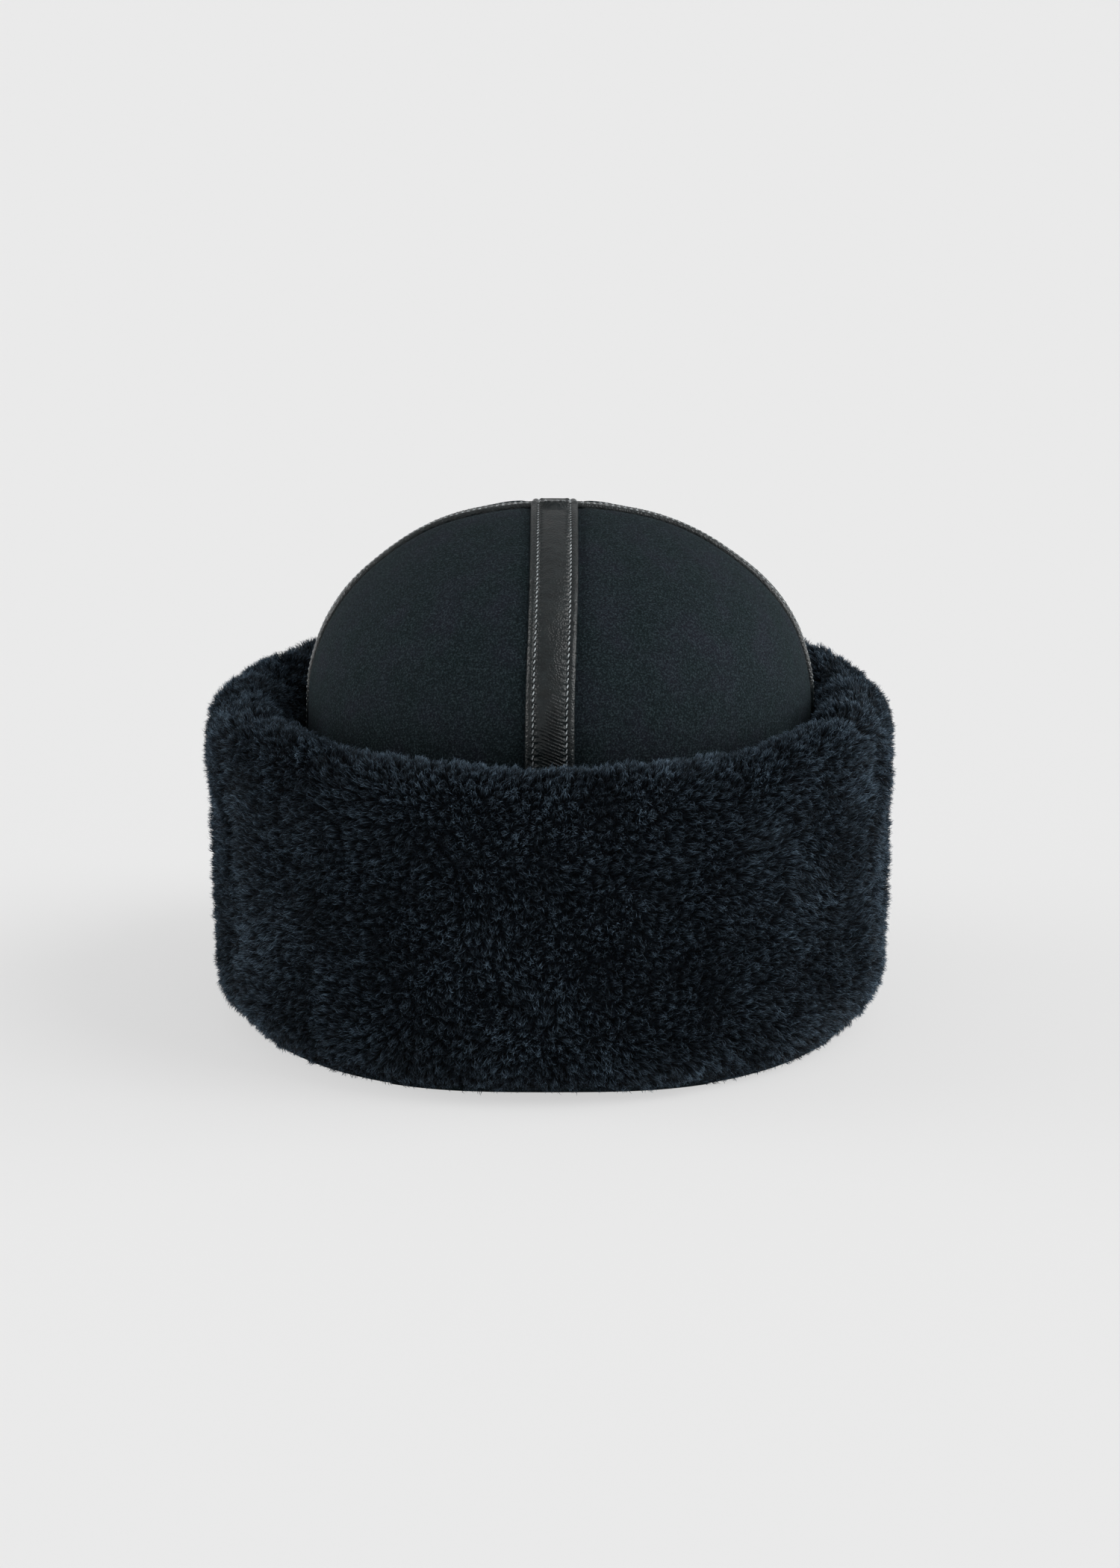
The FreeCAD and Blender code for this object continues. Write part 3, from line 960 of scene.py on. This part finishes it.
welt_corners = [
    (crown_out - 0.4, welt_low, None), (welt_out - 1.2, welt_low, (1.2, 1)),
    (welt_out, welt_low + 1.2, None), (welt_out, welt_high - 1.2, (1.2, 1)),
    (welt_out - 1.2, welt_high, None), (crown_out - 0.4, welt_high, None)]
welt_line = Outline(welt_corners)
steps_round, steps_up = 360, 26
a = np.linspace(0, 1, steps_round + 1)[:, None]
s = np.linspace(0, welt_line.length, steps_up)[None, :]
face = set_round(whole_way, a, *welt_line.at(s))
face = set_round(whole_way, a, *welt_line.at(s, 0.22 * ripple(face, 5, 41) * ease(s, 2, 4)))
back_up = welt_low + (welt_high - welt_low) * s / welt_line.length
back = set_round(whole_way, a, crown_out - 0.5 + 0 * s, back_up)
ring_index = np.arange(steps_round * steps_up).reshape(steps_round, steps_up)
points = np.concatenate([face[:-1].reshape(-1, 3), back[:-1].reshape(-1, 3)])
following = np.roll(ring_index, -1, axis=0)
shift_by = ring_index.size
faces = []
for g, h in ((ring_index, following), (ring_index + shift_by, following + shift_by)):
    faces.append(quads(g[:, :-1], h[:, :-1], h[:, 1:], g[:, 1:]))
for edge in (0, -1):
    g, h = ring_index[:, edge], following[:, edge]
    faces.append(quads(g, h, h + shift_by, g + shift_by))
dress(make_mesh("flap_seam_welt_leather", points, np.concatenate(faces), leather),
      "crown", "strap_leather", "flap_seam_welt")

# %% [markdown]
# Each flap is sheepskin turned up: its suede faces the crown and rolls in round the fold, and
# its wool faces out. The suede is a closed skin of an even thickness. Worn folds aren't
# level, so each flap is settled a little, its wool with it.

# %% The flaps' suede
hide_line = Outline([
    (flap_face, hide_top, None), (flap_face, fold_up, (fold_radius, 1)), (fold_out, flap_low, None)])
flaps = [("front_flap", front_way), ("left_ear_flap", ear_way(1)),
         ("right_ear_flap", ear_way(-1)), ("nape_flap", nape_way)]


def settle(points):
    """The cuff isn't level. The front's foot stands off the floor and its crest sags, mostly in
    the middle. The crest at the ears stands higher, more so on the wearer's left."""
    x, z = np.abs(points[..., 0]), points[..., 2]
    front = points[..., 1] < front_end + 1.3
    foot = 2.4 * (1 - ease(z, 0, 40)) * np.exp(-(x / 45) ** 2)
    sag = 1.3 * (1 - ease(x, 66, 90)) + 1.1 * (1 - ease(x, 10, 50))
    crest_front = 2.6 * ease(x, 72, 98) - sag
    at_ears = (3.9 + 1.5 * np.sign(points[..., 0])) * ease(x, 55, 92)
    crest_back = at_ears * (1 - 0.75 * ease(x, 108, 130))
    moved = points.copy()
    moved[..., 2] += front * foot + ease(z, 60, 118) * np.where(front, crest_front, crest_back)
    return moved


for name, way in flaps:
    a = np.linspace(0, 1, int(way.around / 2.2))[:, None]
    s = np.linspace(0, hide_line.length, 60)[None, :]
    plain = set_round(way, a, *hide_line.at(s))
    nap_lift = 0.12 * ripple(plain, 12, 5)
    face = set_round(way, a, *hide_line.at(s, nap_lift))
    back = set_round(way, a, *hide_line.at(s, -hide_thick))
    skin = make_mesh(name + "_suede", *closed_skin(settle(face), settle(back)), suede)
    dress(skin, name, "suede", name + "_hide")

# %% [markdown]
# The wool of the cuff is the hat's largest surface. Its CAD solid is the shape of the fibres'
# tips, so the bed that they grow from lies a few millimetres inside it. The bed is lumpy, it is
# drawn in beside each split, and the pile over it follows every one of those lumps.

# %% The flaps' wool
crest = (crest_out - flap_face) / 2
crest_mid, crest_up = flap_face + crest, cuff_top - crest
swell = cuff_out - fold_out
roll_up = flap_low + math.sqrt(2 * swell * roll - swell ** 2)
wool_line = Outline([
    (fold_out, flap_low, (roll, 1)), (cuff_out, roll_up, None),
    (crest_out, crest_up, (crest, 1)), (crest_mid, cuff_top, (crest, 1)),
    (flap_face, crest_up, None), (flap_face, hide_top - 3, None)])
back_line = Outline([
    (fold_out, flap_low + hide_thick, (fold_radius - hide_thick, -1)),
    (flap_face + hide_thick, fold_up, None), (flap_face + hide_thick, hide_top - 3, None)])
total = wool_line.length


def wool_form(way):
    """How the wool of one flap stands off its plain outline, and how deep its bed is."""
    def tip(s, a):
        plain = set_round(way, a, *wool_line.at(s))
        z = plain[..., 2]
        from_end = np.minimum(a, 1 - a) * way.around
        outside = 1 - ease(s, total - 60, total - 30)
        bulge = 0.9 * ease(z, 86, 98) * outside - 0.7 * np.exp(-((z - 85) / 5) ** 2) * outside
        crease = -2.6 * np.exp(-(from_end / 5) ** 2) * ease(z, 92, 112)
        lumps = 1.1 * ripple(plain, 22, 51) + 0.8 * ripple(plain, 9, 52)
        cracks = -1.4 * np.exp(-(ripple(plain * [1, 1, 1.7], 17, 53) / 0.08) ** 2)
        return (bulge - 1.3 + crease + lumps + cracks) * ease(s, 0, 14) * ease(total - s, 0, 12)

    def bed_under(s, a):
        depth = 1.6 + 2.2 * ease(s, 0, 16) - 1.8 * ease(s, total - 26, total - 6)
        return tip(s, a) - depth
    return tip, bed_under


for number, (name, way) in enumerate(flaps):
    tip, bed_under = wool_form(way)
    a = np.linspace(0, 1, int(way.around / 2.0))[:, None]
    s = np.linspace(0, total, 100)[None, :]
    face = set_round(way, a, *wool_line.at(s, bed_under(s, a)))
    back = set_round(way, a, *back_line.at(s / total * back_line.length, 0.05))
    base = make_mesh(name + "_wool_bed", *closed_skin(settle(face), settle(back)), bed)
    dress(base, name, "wool", name + "_wool")
    parts = 1 if thin_out > 1.2 else math.ceil(way.around / 72)
    for part in range(parts):
        pile("%s_pile_%d" % (name, part + 1), name, way, wool_line, bed_under, tip,
             pitch=0.62, width=0.27, tuft=3.3, seed=200 + 10 * number + part,
             span=(part / parts, (part + 1) / parts), shift=settle)

# %% [markdown]
# Between the crown's foot and a flap, the skin carries on round the fold. It is a thin skin of its
# own, made in the flap's turned-up place and attached to no body, so it doesn't bend or follow the
# flap when the flap is turned down. It sits just outside the flap's own roll.

# %% The skin round each fold


def fold_skin(name, way, low, high):
    """A skin from the welt round the fold line to the flap's lower lip, made in the turned-up place.
    """
    depth = np.linspace(0, 1, 34)[None, :]
    turn = math.pi + depth * math.pi / 2
    gap = 0.25
    a = np.linspace(low, high, int((high - low) * way.around / 2.5))[:, None]

    def at(radius):
        return settle(set_round(
            way, a, fold_out + radius * np.cos(turn), fold_up + radius * np.sin(turn)))
    piece = make_mesh(name, *closed_skin(at(fold_radius + gap - 0.2 * depth),
                                         at(fold_radius + gap + 0.9 - 0.8 * depth)), suede)
    return piece


for name, way in flaps:
    low, high = (0.0, 1.0) if "ear" in name else (0.27, 0.73)
    skin = fold_skin(name + "_fold", way, low, high)
    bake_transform(skin)
    print("%-34s %7d faces" % (skin.name, len(skin.data.polygons)))

# %% [markdown]
# The set is a plain pale floor that fills the frame. A soft sky gives about half of the light.
# A lamp from the upper right leaves the soft shadow at the lower left, and two low ones, one at
# each side, light the tips of the wool along both sides of the cuff. Part of the floor's
# brightness is only for the camera, which keeps that shadow as pale as it is in the picture.

# %% Floor and light
floor_finish = Finish("floor", roughness=0.9, specular=0.0)
floor_tone = tone(234, 234, 234)
floor_finish.shader.inputs["Base Color"].default_value = floor_tone
rays = floor_finish.add("ShaderNodeLightPath")
seen = floor_finish.sum(rays.outputs["Is Camera Ray"], rays.outputs["Is Glossy Ray"], 1.0)
seen = floor_finish.sum(seen, rays.outputs["Is Transmission Ray"], 1.0)
glow = floor_finish.add("ShaderNodeEmission")
glow.inputs["Color"].default_value = floor_tone
both = floor_finish.add("ShaderNodeMixShader")
floor_finish.join(floor_finish.span(seen, 0.0, 0.7), both.inputs[0])
floor_finish.join(floor_finish.shader.outputs[0], both.inputs[1])
floor_finish.join(glow.outputs[0], both.inputs[2])
floor_finish.join(both.outputs[0], floor_finish.tree.nodes["Material Output"].inputs[0])
floor_mesh = bpy.data.meshes.new("floor")
corners = [(40.0 * x, 40.0 * y, 0.0) for x, y in ((-1, -1), (1, -1), (1, 1), (-1, 1))]
floor_mesh.from_pydata(corners, [], [(0, 1, 2, 3)])
floor_mesh.materials.append(floor_finish.material)
floor = bpy.data.objects.new("floor", floor_mesh)
bpy.context.scene.collection.objects.link(floor)

world = bpy.data.worlds.new("studio")
bpy.context.scene.world = world
world.use_nodes = True
tree = world.node_tree
sky = tree.nodes["Background"]
way_up = tree.nodes.new("ShaderNodeTexCoord")
spread = tree.nodes.new("ShaderNodeVectorMath")
spread.operation = "DOT_PRODUCT"
spread.inputs[1].default_value = (0.0, -0.15, 0.98)
share = tree.nodes.new("ShaderNodeMapRange")
share.inputs["From Min"].default_value = -1.0
share.inputs["To Min"].default_value = 0.26
share.inputs["To Max"].default_value = 0.5
tree.links.new(way_up.outputs["Generated"], spread.inputs[0])
tree.links.new(spread.outputs["Value"], share.inputs["Value"])
tree.links.new(share.outputs[0], sky.inputs["Color"])
sky.inputs["Strength"].default_value = 1.0

for name, energy, wide, where in (
        ("lamp_above", 1.0, 30, (0.62, -0.25, 0.74)), ("lamp_right", 2.7, 50, (0.97, 0.08, 0.18)),
        ("lamp_left", 2.1, 50, (-0.97, 0.1, 0.15))):
    lamp = bpy.data.objects.new(name, bpy.data.lights.new(name, "SUN"))
    lamp.data.energy = energy
    lamp.data.angle = math.radians(wide)
    lamp.rotation_euler = Vector(where).to_track_quat("Z", "Y").to_euler()
    bpy.context.scene.collection.objects.link(lamp)

# %% Finish
bpy.context.view_layer.update()
